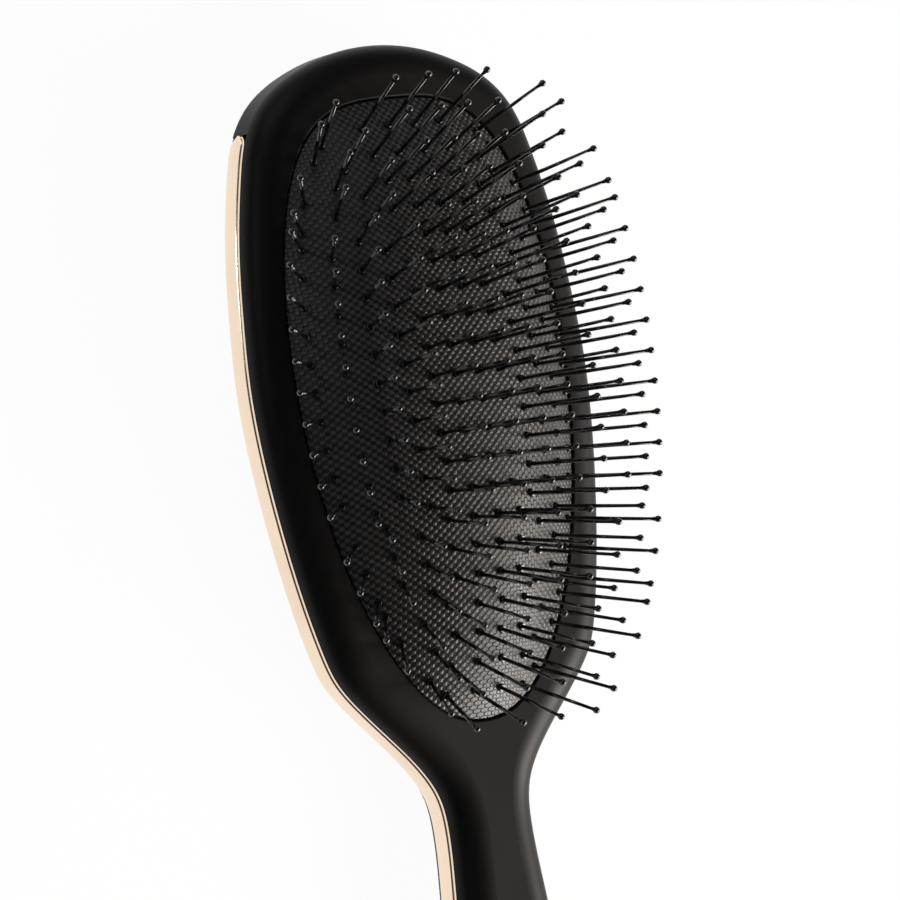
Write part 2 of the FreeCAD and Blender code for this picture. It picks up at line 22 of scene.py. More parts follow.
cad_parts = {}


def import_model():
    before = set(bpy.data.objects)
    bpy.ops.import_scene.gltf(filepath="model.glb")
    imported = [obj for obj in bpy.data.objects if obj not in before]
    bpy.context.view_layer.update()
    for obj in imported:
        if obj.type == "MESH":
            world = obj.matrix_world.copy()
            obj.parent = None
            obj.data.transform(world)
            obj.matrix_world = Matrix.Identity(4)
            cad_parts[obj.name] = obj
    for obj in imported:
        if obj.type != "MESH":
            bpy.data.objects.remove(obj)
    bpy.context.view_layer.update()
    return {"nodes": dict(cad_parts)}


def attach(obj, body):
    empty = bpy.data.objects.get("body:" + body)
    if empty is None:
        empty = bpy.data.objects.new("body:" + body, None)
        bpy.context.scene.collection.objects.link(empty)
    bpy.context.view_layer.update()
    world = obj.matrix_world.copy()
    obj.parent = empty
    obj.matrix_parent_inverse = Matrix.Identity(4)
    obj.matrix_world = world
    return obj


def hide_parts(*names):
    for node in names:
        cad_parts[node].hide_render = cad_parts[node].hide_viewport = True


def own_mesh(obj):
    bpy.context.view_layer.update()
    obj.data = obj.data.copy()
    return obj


LOG = logging.getLogger("cushion_brush")

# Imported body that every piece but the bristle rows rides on.
MAIN_BODY = "body"
WHITE = (1.0, 1.0, 1.0, 1.0)

# Turn between two faces past which their edge is sharp.
SHARP_TURN = math.radians(35.0)

# Places of the share and the two colours among the Mix node's inputs, and of the colour among its outputs.
MIX_INPUTS = (0, 6, 7)
MIX_OUTPUT = 2

Color = tuple[float, float, float]
Point = tuple[float, float, float]
Shares = tuple[tuple[float, float], ...]
Reach = tuple[float | np.ndarray, float]
Ring = Sequence[bmesh.types.BMVert]
Node = bpy.types.Node
Socket = bpy.types.NodeSocket
Tree = bpy.types.NodeTree
Material = bpy.types.Material
Piece = bpy.types.Object
Feed = Socket | float | str | tuple


class Slot(Enum):
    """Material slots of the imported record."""

    SHELL = "shell"
    TRIM = "trim"
    CUSHION = "cushion"
    BRISTLE = "bristle"


class NodeBench:
    """Adds and joins the nodes of one tree."""

    def __init__(self, tree: Tree) -> None:
        """Start on a tree, emptied of its nodes."""
        self.tree = tree
        tree.nodes.clear()

    def node(self, kind: str, **settings: object) -> Node:
        """Add a node.

        Args:
            kind: The node's type name.
            settings: Properties to set on it.

        Returns:
            The new node.
        """
        made = self.tree.nodes.new(kind)
        for name, value in settings.items():
            setattr(made, name, value)
        return made

    def feed(self, socket: Socket, value: Feed) -> None:
        """Link a socket to an output, or set its own value.

        Args:
            socket: The input to feed.
            value: An output of another node, or a plain value.
        """
        if isinstance(value, Socket):
            self.tree.links.new(value, socket)
        else:
            socket.default_value = value

    def fill(self, made: Node, **values: Feed) -> Node:
        """Feed a node's inputs by name, with underscores for spaces.

        Args:
            made: The node whose inputs are fed.
            values: The values for its inputs.

        Returns:
            The same node.
        """
        for name, value in values.items():
            self.feed(made.inputs[name.replace("_", " ")], value)
        return made

    def run(self, made: Node, *values: Feed) -> Socket:
        """Feed a node's inputs in order.

        Args:
            made: The node whose inputs are fed.
            values: The values for its inputs.

        Returns:
            The node's first output.
        """
        for socket, value in zip(made.inputs, values):
            self.feed(socket, value)
        return made.outputs[0]

    def math(self, operation: str, *values: Feed) -> Socket:
        """Return what a Math node works out from its terms."""
        return self.run(self.node("ShaderNodeMath", operation=operation), *values)

    def layer(self, share: Feed, first: Socket, second: Socket) -> Socket:
        """Return a mix of two shaders, with a share of the second."""
        return self.run(self.node("ShaderNodeMixShader"), share, first, second)

    def blend(self, share: Feed, first: Color, second: Color) -> Socket:
        """Mix two colours.

        Args:
            share: How much of the second colour is taken.
            first: The colour at a share of nought.
            second: The colour at a share of one.

        Returns:
            The mixed colour's socket.
        """
        made = self.node("ShaderNodeMix", data_type="RGBA")
        for place, value in zip(MIX_INPUTS, (share, (*first, 1.0), (*second, 1.0))):
            self.feed(made.inputs[place], value)
        return made.outputs[MIX_OUTPUT]

    def sockets(self, way: str, kind: str, *names: str) -> None:
        """Add named sockets to the tree's own inputs or outputs."""
        for name in names:
            self.tree.interface.new_socket(name, in_out=way, socket_type=f"NodeSocket{kind}")

    def out(self, kind: str, **values: Feed) -> Socket:
        """Add a node, feed its inputs by name and return its first output."""
        return self.fill(self.node(kind), **values).outputs[0]

    def group(self, tree: Tree, **values: Feed) -> Socket:
        """Place a shader group, feed its inputs by name and return its output."""
        return self.fill(self.node("ShaderNodeGroup", node_tree=tree), **values).outputs[0]


@dataclass(frozen=True)
class NoiseGroup:
    """Shader group round one noise, which several finishes share."""

    name: str
    detail: float
    ranged: bool = False
    low_share: float = 0.34
    high_share: float = 0.66

    def tree(self) -> Tree:
        """Return the group's tree, built when it is first asked for."""
        return bpy.data.node_groups.get(self.name) or self._build()

    def _build(self) -> Tree:
        """Build the group: a noise of a given size that, if ranged, runs from a low to a high value.

        Returns:
            The group's tree.
        """
        bench = NodeBench(bpy.data.node_groups.new(self.name, "ShaderNodeTree"))
        bench.sockets("INPUT", "Vector", "Vector")
        bench.sockets("INPUT", "Float", "Size", *(("Low", "High") if self.ranged else ()))
        bench.sockets("OUTPUT", "Float", "Value")
        given = bench.node("NodeGroupInput").outputs
        scale = bench.math("DIVIDE", 1.0, given["Size"])
        value = bench.out("ShaderNodeTexNoise", Vector=given["Vector"], Scale=scale, Detail=self.detail)
        if self.ranged:
            spread = bench.node("ShaderNodeMapRange")
            bench.fill(spread, Value=value, From_Min=self.low_share, From_Max=self.high_share)
            bench.fill(spread, To_Min=given["Low"], To_Max=given["High"])
            value = spread.outputs[0]
        bench.fill(bench.node("NodeGroupOutput"), Value=value)
        return bench.tree


GRAIN = NoiseGroup("moulded_grain", detail=2.0)
PATCHES = NoiseGroup("handled_patches", detail=3.0, ranged=True)


class SurfaceBench(NodeBench):
    """Bench of a new material with one shader, coordinates on the piece and a fine grain."""

    def __init__(self, name: str, pitch: float, depth: float) -> None:
        """Start the material.

        Args:
            name: The material's name.
            pitch: The grain's pitch.
            depth: The grain's depth.
        """
        self.material = bpy.data.materials.new(name)
        self.material.use_nodes = True
        super().__init__(self.material.node_tree)
        self.shader = self.node("ShaderNodeBsdfPrincipled")
        self.fill(self.node("ShaderNodeOutputMaterial"), Surface=self.shader.outputs[0])
        self.place = self.node("ShaderNodeTexCoord").outputs["Object"]
        grain = self.group(GRAIN.tree(), Vector=self.place, Size=pitch)
        self.normal = self.out("ShaderNodeBump", Height=grain, Distance=depth)

    def patches(self, size: float, low: float, high: float) -> Socket:
        """Return wide soft patches of a size, between a low and a high value."""
        return self.group(PATCHES.tree(), Vector=self.place, Size=size, Low=low, High=high)


@dataclass(frozen=True)
class Finish(ABC):
    """What the finishes share: two tones, wide soft patches and a fine grain."""

    name: str
    color: Color
    second_color: Color
    smooth_share: float
    rough_share: float
    grain_pitch: float
    grain_depth: float
    patch: float

    def material(self) -> Material:
        """Build the material.

        Returns:
            The new material.
        """
        bench = SurfaceBench(self.name, self.grain_pitch, self.grain_depth)
        self._dress(bench)
        return bench.material

    @abstractmethod
    def _dress(self, bench: SurfaceBench) -> None:
        """Set what is the finish's own on the material's bench."""

    def _tones(self, bench: SurfaceBench, share: Feed) -> Socket:
        """Return a mix of the two tones, with a share of the second."""
        return bench.blend(share, self.color, self.second_color)


@dataclass(frozen=True)
class PlasticFinish(Finish):
    """Moulded black plastic, smoother and lighter where it is handled."""

    gloss: float = 0.5
    coat: float = 0.0
    coat_roughness: float = 0.1

    def _dress(self, bench: SurfaceBench) -> None:
        """Set the colour, roughness, gloss and coat.

        Args:
            bench: The material's bench.
        """
        tone = self._tones(bench, bench.patches(self.patch, 0.0, 1.0))
        rough = bench.patches(self.patch, self.rough_share, self.smooth_share)
        bench.fill(bench.shader, Base_Color=tone, Roughness=rough, Normal=bench.normal)
        bench.fill(bench.shader, Specular_IOR_Level=self.gloss)
        bench.fill(bench.shader, Coat_Weight=self.coat, Coat_Roughness=self.coat_roughness)


@dataclass(frozen=True)
class PlatedFinish(Finish):
    """Champagne plating, smooth, with faint patches in its tone and polish."""

    polish_patch_share: float = 1 / 3

    def _dress(self, bench: SurfaceBench) -> None:
        """Set the colour, polish and metal.

        Args:
            bench: The material's bench.
        """
        tone = self._tones(bench, bench.patches(self.patch, 0.0, 1.0))
        rough = bench.patches(self.patch * self.polish_patch_share, self.smooth_share, self.rough_share)
        bench.fill(bench.shader, Base_Color=tone, Roughness=rough, Normal=bench.normal, Metallic=1.0)


@dataclass(frozen=True)
class PippedRubberFinish(Finish):
    """Matte rubber with small pips on a diamond lattice, the pip tops in the lighter second tone as a painted
    highlight and the hollows between them in the dark first tone as painted shade.
    """

    lattice_across: float = 0.00162
    lattice_along: float = 0.00144
    pip_depth: float = 0.00013
    pip_foot_share: float = -0.35
    pip_top_share: float = 0.75
    gloss: float = 0.5
    sheen: float = 0.03
    sheen_roughness: float = 0.4

    def _dress(self, bench: SurfaceBench) -> None:
        """Set the colour, painted lighter on the pip tops as a highlight and darker between them as shade,
        the roughness, gloss and sheen, and raise the pips over the grain.

        Args:
            bench: The material's bench.
        """
        pips = self._pips(bench)
        raised = bench.out("ShaderNodeBump", Height=pips, Distance=self.pip_depth, Normal=bench.normal)
        rough = bench.patches(self.patch, self.smooth_share, self.rough_share)
        # The base colour follows the pip height: painted highlight on the pip tops, painted shade in the
        # hollows between them.
        bench.fill(bench.shader, Base_Color=self._tones(bench, pips), Roughness=rough, Normal=raised)
        bench.fill(bench.shader, Sheen_Weight=self.sheen, Sheen_Roughness=self.sheen_roughness)
        bench.fill(bench.shader, Specular_IOR_Level=self.gloss)

    def _pips(self, bench: SurfaceBench) -> Socket:
        """Work out the pips' height, which also places the painted highlight on the pip tops and the painted
        shade between them.

        Args:
            bench: The material's bench.

        Returns:
            A socket that runs from nought between the pips to one on top of them.
        """
        wave = 1.0
        axes = bench.fill(bench.node("ShaderNodeSeparateXYZ"), Vector=bench.place).outputs
        for axis, pitch in zip(axes, (self.lattice_across, self.lattice_along)):
            turn = bench.math("MULTIPLY", axis, math.tau / pitch)
            wave = bench.math("MULTIPLY", bench.math("COSINE", turn), wave)
        spread = bench.node("ShaderNodeMapRange", interpolation_type="SMOOTHSTEP")
        bench.fill(spread, Value=wave, From_Min=self.pip_foot_share, From_Max=self.pip_top_share)
        return spread.outputs[0]


SHELL_FINISH = PlasticFinish(
    name="soft_touch_black",
    color=(0.0046, 0.0042, 0.0041),
    second_color=(0.0064, 0.0058, 0.0055),
    smooth_share=0.42,
    rough_share=0.49,
    grain_pitch=0.00022,
    grain_depth=0.0000022,
    patch=0.018,
    gloss=0.17,
)
RING_FINISH = PlasticFinish(
    name="clamp_plastic",
    color=(0.016, 0.016, 0.017),
    second_color=(0.022, 0.022, 0.023),
    smooth_share=0.45,
    rough_share=0.6,
    grain_pitch=0.0003,
    grain_depth=0.000006,
    patch=0.012,
)
BRISTLE_FINISH = PlasticFinish(
    name="nylon_black",
    color=(0.0045, 0.0045, 0.0050),
    second_color=(0.0065, 0.0062, 0.0065),
    smooth_share=0.10,
    rough_share=0.18,
    grain_pitch=0.0004,
    grain_depth=0.000001,
    patch=0.004,
    coat=0.3,
)
TRIM_FINISH = PlatedFinish(
    name="champagne_plating",
    color=(0.95, 0.775, 0.60),
    second_color=(0.91, 0.725, 0.57),
    smooth_share=0.13,
    rough_share=0.22,
    grain_pitch=0.0006,
    grain_depth=0.0000012,
    patch=0.02,
)
CUSHION_FINISH = PippedRubberFinish(
    name="pipped_rubber",
    color=(0.0070, 0.0064, 0.0061),
    # Lighter tone painted on the pip tops as a highlight; the first tone is painted shade between the pips.
    second_color=(0.066, 0.060, 0.057),
    smooth_share=0.36,
    rough_share=0.45,
    grain_pitch=0.00016,
    grain_depth=0.000003,
    patch=0.015,
)


@dataclass(frozen=True)
class Rail:
    """Places along an outline, each with its inward direction."""

    places: np.ndarray
    inward: np.ndarray

    def ring(self, depth: float | np.ndarray, height: float | np.ndarray) -> np.ndarray:
        """Draw the places in by a depth, at a height.

        Args:
            depth: How far inwards, one value or one for each place.
            height: The height, one value or one for each place.

        Returns:
            The points, one row each.
        """
        count = len(self.places)
        moved = self.places + self.inward * np.broadcast_to(depth, count)[:, None]
        return np.column_stack([moved, np.broadcast_to(height, count)])


@dataclass(frozen=True)
class BodyOutline:
    """Outline of the body seen from the front: head, shoulders, neck and handle on one smooth curve."""

    length: float = 0.228
    crown_reach: float = 0.0677
    head_width: float = 0.0726
    shoulder_reach: float = 0.0465
    shoulder_width: float = 0.0556
    neck_reach: float = 0.077
    neck_width: float = 0.0174
    handle_width: float = 0.025
    crown_shares: Shares = (
        (0.253, 0.985), (0.482, 0.943), (0.665, 0.883), (0.792, 0.798),
        (0.868, 0.679), (0.937, 0.502), (0.981, 0.295), (1.0, 0.118),
    )
    flank_shares: Shares = ((0.918, 0.15), (0.729, 0.43), (0.482, 0.688), (0.212, 0.892), (0.0, 1.0))
    neck_shares: Shares = ((0.795, 0.18), (0.459, 0.41), (0.178, 0.62), (0.049, 0.77), (0.0, 1.0))
    handle_shares: Shares = ((0.156, 0.132), (0.594, 0.396), (0.97, 0.66), (0.94, 0.816))
    handle_end_shares: Shares = ((0.78, 0.936), (0.42, 0.984))
    fine_steps: int = 6000

    @property
    def middle(self) -> float:
        """Return the place of the opening's middle along the brush."""
        return self.length / 2 - self.crown_reach

    def half(self) -> list[tuple[float, float]]:
        """Work out the right half.

        Returns:
            Its points, from the crown to the end of the handle.
        """
        head = self.head_width / 2
        shoulder = self.shoulder_width / 2
        neck = self.neck_width / 2
        handle = self.handle_width / 2
        end = self.length - self.crown_reach
        stretches = (
            (self.crown_shares, 0.0, head, 0.0, self.crown_reach),
            (self.flank_shares, shoulder, head, 0.0, -self.shoulder_reach),
            (self.neck_shares, neck, shoulder, -self.shoulder_reach, -self.neck_reach),
            (self.handle_shares, neck, handle, -self.neck_reach, -end),
            (self.handle_end_shares, 0.0, handle, -self.neck_reach, -end),
        )
        points = [(0.0, self.crown_reach)]
        for shares, narrow, wide, start, stop in stretches:
            points += [(narrow + x * (wide - narrow), start + y * (stop - start)) for x, y in shares]
        return [*points, (0.0, -end)]

    @cached_property
    def table(self) -> tuple[np.ndarray, np.ndarray, np.ndarray]:
        """Draw the outline.

        Returns:
            Lengths along it, with the places and inward directions there.
        """
        right = self.half()
        left = [(-x, y) for x, y in reversed(right[1:-1])]
        corners = np.array(right + left) + (0.0, self.middle)
        places = closed_spline(corners, self.fine_steps)
        return with_inward(places)

    def rail(self, lengths: np.ndarray) -> Rail:
        """Return the places and inward directions at lengths along the outline, from the crown clockwise."""
        table, places, inward = self.table
        return Rail(read_at(lengths, table, places), read_at(lengths, table, inward))

    def even(self, count: int) -> Rail:
        """Return the whole outline at a number of even steps."""
        return self.rail(np.arange(count) * self.table[0][-1] / count)

    def length_down_to(self, y: float) -> float:
        """Return the length along the right side, from the crown down to a place along the brush."""
        table, places, _ = self.table
        return float(table[np.argmax(places[:, 1] < y)])


@dataclass(frozen=True)
class OpeningEgg:
    """Egg-shaped opening of the cushion, fuller towards the crown."""

    half_width: float = 0.0294
    half_length: float = 0.0575
    middle: float = 0.0463
    lean_share: float = 0.13
    full_share: float = 0.78
    full_lean_share: float = 0.13
    fine_steps: int = 4000

    def width_at(self, y: float | np.ndarray, grow: float) -> float | np.ndarray:
        """Give the egg's half width at a place along it.

        Args:
            y: The place, from the egg's middle.
            grow: How much larger the egg is than the opening.

        Returns:
            The half width there.
        """
        along = np.clip(y / (self.half_length + grow), -1.0, 1.0)
        power = self.full_share - self.full_lean_share * along
        width = (self.half_width + grow) * np.sqrt(1.0 - along * along) ** power
        return width * (1.0 + self.lean_share * along)

    def ring(self, grow: float, height: float, count: int, scale: float = 1.0) -> np.ndarray:
        """Draw the egg as a ring of even steps.

        Args:
            grow: How much larger the egg is than the opening.
            height: The ring's height.
            count: How many points it has.
            scale: How far it is scaled about its middle.

        Returns:
            The points, one row each.
        """
        share = np.linspace(0.0, 1.0, self.fine_steps)
        y = (self.half_length + grow) * np.cos(math.pi * ease(share))
        x = self.width_at(y, grow)
        right = np.column_stack([x, y])
        left = np.column_stack([-x[-2:0:-1], y[-2:0:-1]])
        lengths, places, _ = with_inward(np.vstack([right, left]))
        steps = np.arange(count) * lengths[-1] / count
        moved = scale * read_at(steps, lengths, places) + (0.0, self.middle)
        return np.column_stack([moved, np.full(count, height)])


def ease(share: np.ndarray) -> np.ndarray:
    """Slow a run of shares down at both of its ends."""
    return share * share * (3.0 - 2.0 * share)


def read_at(lengths: np.ndarray, table: np.ndarray, places: np.ndarray) -> np.ndarray:
    """Read places that lie at a table's lengths along a run, at other lengths along it."""
    return np.column_stack([np.interp(lengths, table, places[:, axis]) for axis in (0, 1)])


def quarter_turns(steps: int) -> np.ndarray:
    """Return even turns from nought to a right angle."""
    return np.linspace(0.0, math.pi / 2, steps + 1)


def closed_spline(corners: np.ndarray, steps: int) -> np.ndarray:
    """Draw a smooth closed curve through corners.

    Args:
        corners: The corners, one row each.
        steps: How many points the curve gets.

    Returns:
        Points on the curve, from the first corner round to just before it.
    """
    ahead = np.roll(corners, -1, axis=0)
    span = np.linalg.norm(ahead - corners, axis=1)
    behind = np.roll(span, 1)
    count = len(corners)
    sums = np.zeros((count, count))
    for row in range(count):
        sums[row, row - 1] += behind[row]
        sums[row, row] += 2.0 * (behind[row] + span[row])
        sums[row, (row + 1) % count] += span[row]
    slope = (ahead - corners) / span[:, None]
    bend = np.linalg.solve(sums, 6.0 * (slope - np.roll(slope, 1, axis=0)))
    knots = np.concatenate([[0.0], np.cumsum(span)])
    at = np.arange(steps) * knots[-1] / steps
    piece = np.clip(np.searchsorted(knots, at, side="right") - 1, 0, count - 1)
    width = span[piece][:, None]
    past = (at - knots[piece])[:, None]
    left = width - past
    low, high = bend[piece], bend[(piece + 1) % count]
    start, end = corners[piece], ahead[piece]
    curve = (low * left**3 + high * past**3) / (6.0 * width)
    curve += (start / width - low * width / 6.0) * left
    curve += (end / width - high * width / 6.0) * past
    return curve


def with_inward(places: np.ndarray) -> tuple[np.ndarray, np.ndarray, np.ndarray]:
    """Measure a closed run of points.

    Args:
        places: Points in clockwise order, without the first repeated.

    Returns:
        Lengths along the run, its points with the first repeated, and the inward direction at each.
    """
    step = np.roll(places, -1, axis=0) - np.roll(places, 1, axis=0)
    inward = np.column_stack([step[:, 1], -step[:, 0]])
    inward /= np.linalg.norm(inward, axis=1)[:, None]
    closed = np.vstack([places, places[:1]])
    lengths = np.concatenate([[0.0], np.cumsum(np.linalg.norm(np.diff(closed, axis=0), axis=1))])
    return lengths, closed, np.vstack([inward, inward[:1]])


def add_object(name: str, data: bpy.types.ID) -> Piece:
    """Add an object to the scene.

    Args:
        name: The object's name.
        data: The mesh, lamp or camera that it shows.

    Returns:
        The new object.
    """
    made = bpy.data.objects.new(name, data)
    bpy.context.scene.collection.objects.link(made)
    return made


class SurfaceBuilder:
    """Stitches rings of points into one mesh."""

    def __init__(self, name: str) -> None:
        """Start an empty mesh for a named piece."""
        self.name = name
        self.mesh = bmesh.new()

    def ring(self, points: Iterable[Sequence[float]]) -> Ring:
        """Add a ring's points."""
        return [self.mesh.verts.new(point) for point in points]

    def runs(self, rail: Rail, corners: Iterable[Reach]) -> list[Ring]:
        """Draw a rail in to each corner's depth, at its height."""
        return [self.ring(rail.ring(depth, height)) for depth, height in corners]

    def bands(self, rings: Sequence[Ring], closed: bool = True) -> None:
        """Stitch each ring to the next.

        Args:
            rings: Rings of as many points each.
            closed: Whether they close on themselves.
        """
        count = len(rings[0])
        for first, second in zip(rings, rings[1:]):
            for here in range(count if closed else count - 1):
                there = (here + 1) % count
                corners = (first[here], first[there], second[there], second[here])
                self.mesh.faces.new(corners).smooth = True

    def bar(self, runs: Sequence[Ring]) -> None:
        """Close open runs into a bar with flat ends.

        Args:
            runs: The bar's long edges, in order round it.
        """
        self.bands([*runs, runs[0]], closed=False)
        for end in (0, -1):
            self.cap([run[end] for run in runs])

    def cap(self, ring: Ring) -> None:
        """Close a ring with one flat face."""
        self.mesh.faces.new(ring).smooth = False

    def fan(self, ring: Ring, top: Sequence[float]) -> None:
        """Close a ring with a point.

        Args:
            ring: The ring.
            top: The point.
        """
        tip = self.mesh.verts.new(top)
        for here, corner in enumerate(ring):
            self.mesh.faces.new((corner, ring[(here + 1) % len(ring)], tip)).smooth = True

    def plate(self, *rings: Ring) -> None:
        """Fill the flat space between two rings.

        Args:
            rings: The outer ring and the ring inside it.
        """
        edges = []
        for ring in rings:
            for here, corner in enumerate(ring):
                pair = (corner, ring[(here + 1) % len(ring)])
                edges.append(self.mesh.edges.get(pair) or self.mesh.edges.new(pair))
        filled = bmesh.ops.triangle_fill(
            self.mesh, use_beauty=True, edges=edges, normal=Vector((0.0, 0.0, 1.0))
        )
        for part in filled["geom"]:
            if isinstance(part, bmesh.types.BMFace):
                part.smooth = False

    def finish(self, material: Material) -> Piece:
        """Turn the stitched rings into a piece of the scene.

        Args:
            material: The piece's material.

        Returns:
            The new object.
        """
        bmesh.ops.recalc_face_normals(self.mesh, faces=self.mesh.faces[:])
        for edge in self.mesh.edges:
            if len(edge.link_faces) == 2:
                edge.smooth = edge.calc_face_angle() < SHARP_TURN
        data = bpy.data.meshes.new(self.name)
        self.mesh.to_mesh(data)
        self.mesh.free()
        data.materials.append(material)
        return add_object(self.name, data)


def dress(piece: Piece, body: str, slot: Slot, *nodes: str) -> Piece:
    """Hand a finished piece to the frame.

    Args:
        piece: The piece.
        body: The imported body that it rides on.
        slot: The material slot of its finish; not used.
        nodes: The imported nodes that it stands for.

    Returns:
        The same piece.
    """
    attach(piece, body)
    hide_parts(*nodes)
    return piece


@dataclass
class BodyShells:
    """The front and back shells, which meet behind the strip."""

    outline: BodyOutline
    opening: OpeningEgg
    trim_low: float = 0.0056
    trim_top: float = 0.0106
    parting: float = 0.0081
    rim: float = 0.015
    front_round: float = 0.0058
    back_step: float = 0.0005
    head_back_round: float = 0.0135
    handle_back_round: float = 0.0075
    wall: float = 0.002
    tongue_face: float = 0.0013
    tongue_inset: float = 0.0029
    skirt_depth: float = 0.00125
    trim_end: float = 0.1
    rim_round: float = 0.00035
    lip_width: float = 0.0012
    lip_low: float = 0.0124
    inner_round: float = 0.005
    inner_roof: float = 0.0129
    around: int = 420
    egg_around: int = 200
    edge_steps: int = 14
    rim_steps: int = 4
    skirt_steps: int = 60
    finish: PlasticFinish = SHELL_FINISH

    def build(self) -> list[Piece]:
        """Build both shells.

        Returns:
            The front shell and the back shell.
        """
        material = self.finish.material()
        shells = (("front_shell", self._front()), ("back_shell", self._back()))
        return [dress(made.finish(material), MAIN_BODY, Slot.SHELL, node) for node, made in shells]

    @cached_property
    def rail(self) -> Rail:
        """Return the outline that both shells follow."""
        return self.outline.even(self.around)

    def _round(self, start: Reach, stop: Reach) -> list[Reach]:
        """Give the steps of a quarter round, upright at its start and flat at its stop.

        Args:
            start: The depth and height where it starts.
            stop: The depth and height where it stops.

        Returns:
            The depth and height of each step.
        """
        deeper, higher = stop[0] - start[0], stop[1] - start[1]
        return [
            (start[0] + deeper * (1.0 - math.cos(turn)), start[1] + higher * math.sin(turn))
            for turn in quarter_turns(self.edge_steps)
        ]

    def _edge(
        self, builder: SurfaceBuilder, start: Reach, outer_stop: Reach, inner_stop: Reach
    ) -> tuple[Ring, Ring]:
        """Build a shell's rounded edge, with the tongue behind the strip.

        Args:
            builder: The shell's builder.
            start: The depth and height where the outer round starts.
            outer_stop: The depth and height where the outer round stops.
            inner_stop: The depth and height where the inner round stops.

        Returns:
            The last outer ring and the last inner ring.
        """
        seam = start[1]
        face, inset = self.tongue_face, self.tongue_inset
        outer = builder.runs(self.rail, self._round(start, outer_stop))
        inner = builder.runs(self.rail, self._round((inset, seam), inner_stop))
        tongue = builder.runs(self.rail, ((face, seam), (face, self.parting), (inset, self.parting)))
        builder.bands(outer)
        builder.bands(inner)
        builder.bands([outer[0], *tongue, inner[0]])
        return outer[-1], inner[-1]

    def _front(self) -> SurfaceBuilder:
        """Stitch the front shell: crowned margin, opening, lip and the skirt round the crown.

        Returns:
            The shell's builder.
        """
        builder = SurfaceBuilder("front_cover")
        margin, roof = self._edge(
            builder, (0.0, self.trim_top), (self.front_round, self.rim), (self.inner_round, self.inner_roof)
        )
        corners = [
            (self.rim_round * (1.0 - math.sin(turn)), self.rim - self.rim_round * (1.0 - math.cos(turn)))
            for turn in quarter_turns(self.rim_steps)
        ]
        corners += [(0.0, self.lip_low), (self.lip_width, self.lip_low), (self.lip_width, self.inner_roof)]
        mouth = [builder.ring(self.opening.ring(grow, height, self.egg_around)) for grow, height in corners]
        builder.bands(mouth)
        builder.plate(margin, mouth[0])
        builder.plate(roof, mouth[-1])
        self._skirt(builder)
        return builder

    def _skirt(self, builder: SurfaceBuilder) -> None:
        """Add the front's edge round the crown, between the ends of the strip.

        Args:
            builder: The front shell's builder.
        """
        reach = self.outline.length_down_to(self.trim_end)
        whole = self.outline.table[0][-1]
        lengths = np.linspace(-reach, reach, self.skirt_steps + 1) % whole
        corners = (
            (0.0, self.trim_top),
            (0.0, self.trim_low),
            (self.skirt_depth, self.trim_low),
            (self.skirt_depth, self.trim_top),
        )
        builder.bar(builder.runs(self.outline.rail(lengths), corners))

    def _back_round(self) -> np.ndarray:
        """Work out the back's rounded edge.

        Returns:
            Its width at each place of the outline.
        """
        shoulder = self.outline.middle - self.outline.shoulder_reach
        run = self.outline.neck_reach - self.outline.shoulder_reach
        along = np.clip((shoulder - self.rail.places[:, 1]) / run, 0.0, 1.0)
        return self.head_back_round + (self.handle_back_round - self.head_back_round) * ease(along)

    def _back(self) -> SurfaceBuilder:
        """Stitch the back shell: rounded back, flat rest and the tongue behind the strip.

        Returns:
            The shell's builder.
        """
        builder = SurfaceBuilder("back_cover")
        full = self._back_round()
        for ring in self._edge(builder, (self.back_step, self.trim_low), (full, 0.0), (full, self.wall)):
            builder.cap(ring)
        return builder


@dataclass
class TrimStrip:
    """Plated strip let into the body's edge, bowed, with a fine groove near its top and rounded ends."""

    outline: BodyOutline
    low: float = 0.00562
    top: float = 0.01058
    edge_step: float = 0.0001
    bulge: float = 0.00045
    depth: float = 0.00125
    end: float = 0.09995
    end_round: float = 0.0024
    groove_share: float = 0.74
    groove_half_share: float = 0.09
    groove_depth: float = 0.0002
    end_steps: int = 10
    around: int = 420
    levels: int = 44
    finish: PlatedFinish = TRIM_FINISH

    def build(self) -> list[Piece]:
        """Build the strip from runs along it, whose points are closer at the ends.

        Returns:
            The strip.
        """
        builder = SurfaceBuilder("edge_strip")
        start = self.outline.length_down_to(self.end)
        stop = self.outline.table[0][-1] - start
        ends = self.end_round * (1.0 - np.cos(quarter_turns(self.end_steps)[1:]))
        main = np.linspace(start + self.end_round, stop - self.end_round, self.around)
        lengths = np.concatenate([start + ends[:-1], main, stop - ends[-2::-1]])
        rail = self.outline.rail(lengths)
        near = np.minimum(lengths - start, stop - lengths)
        share = np.clip(1.0 - near / self.end_round, 0.0, 1.0)
        half = (self.top - self.low) / 2 * np.sqrt(1.0 - share * share)
        middle = (self.top + self.low) / 2
        runs = [builder.ring(rail.ring(self.depth, middle - half))]
        for level in np.linspace(-1.0, 1.0, self.levels + 1):
            proud = self.edge_step + (self.bulge - self.edge_step) * (1.0 - level * level)
            off = (level - self.groove_share) / self.groove_half_share
            proud -= self.groove_depth * max(0.0, 1.0 - off * off)
            runs.append(builder.ring(rail.ring(-proud, middle + half * level)))
        runs.append(builder.ring(rail.ring(self.depth, middle + half)))
        builder.bar(runs)
        return [dress(builder.finish(self.finish.material()), MAIN_BODY, Slot.TRIM, "trim_band")]


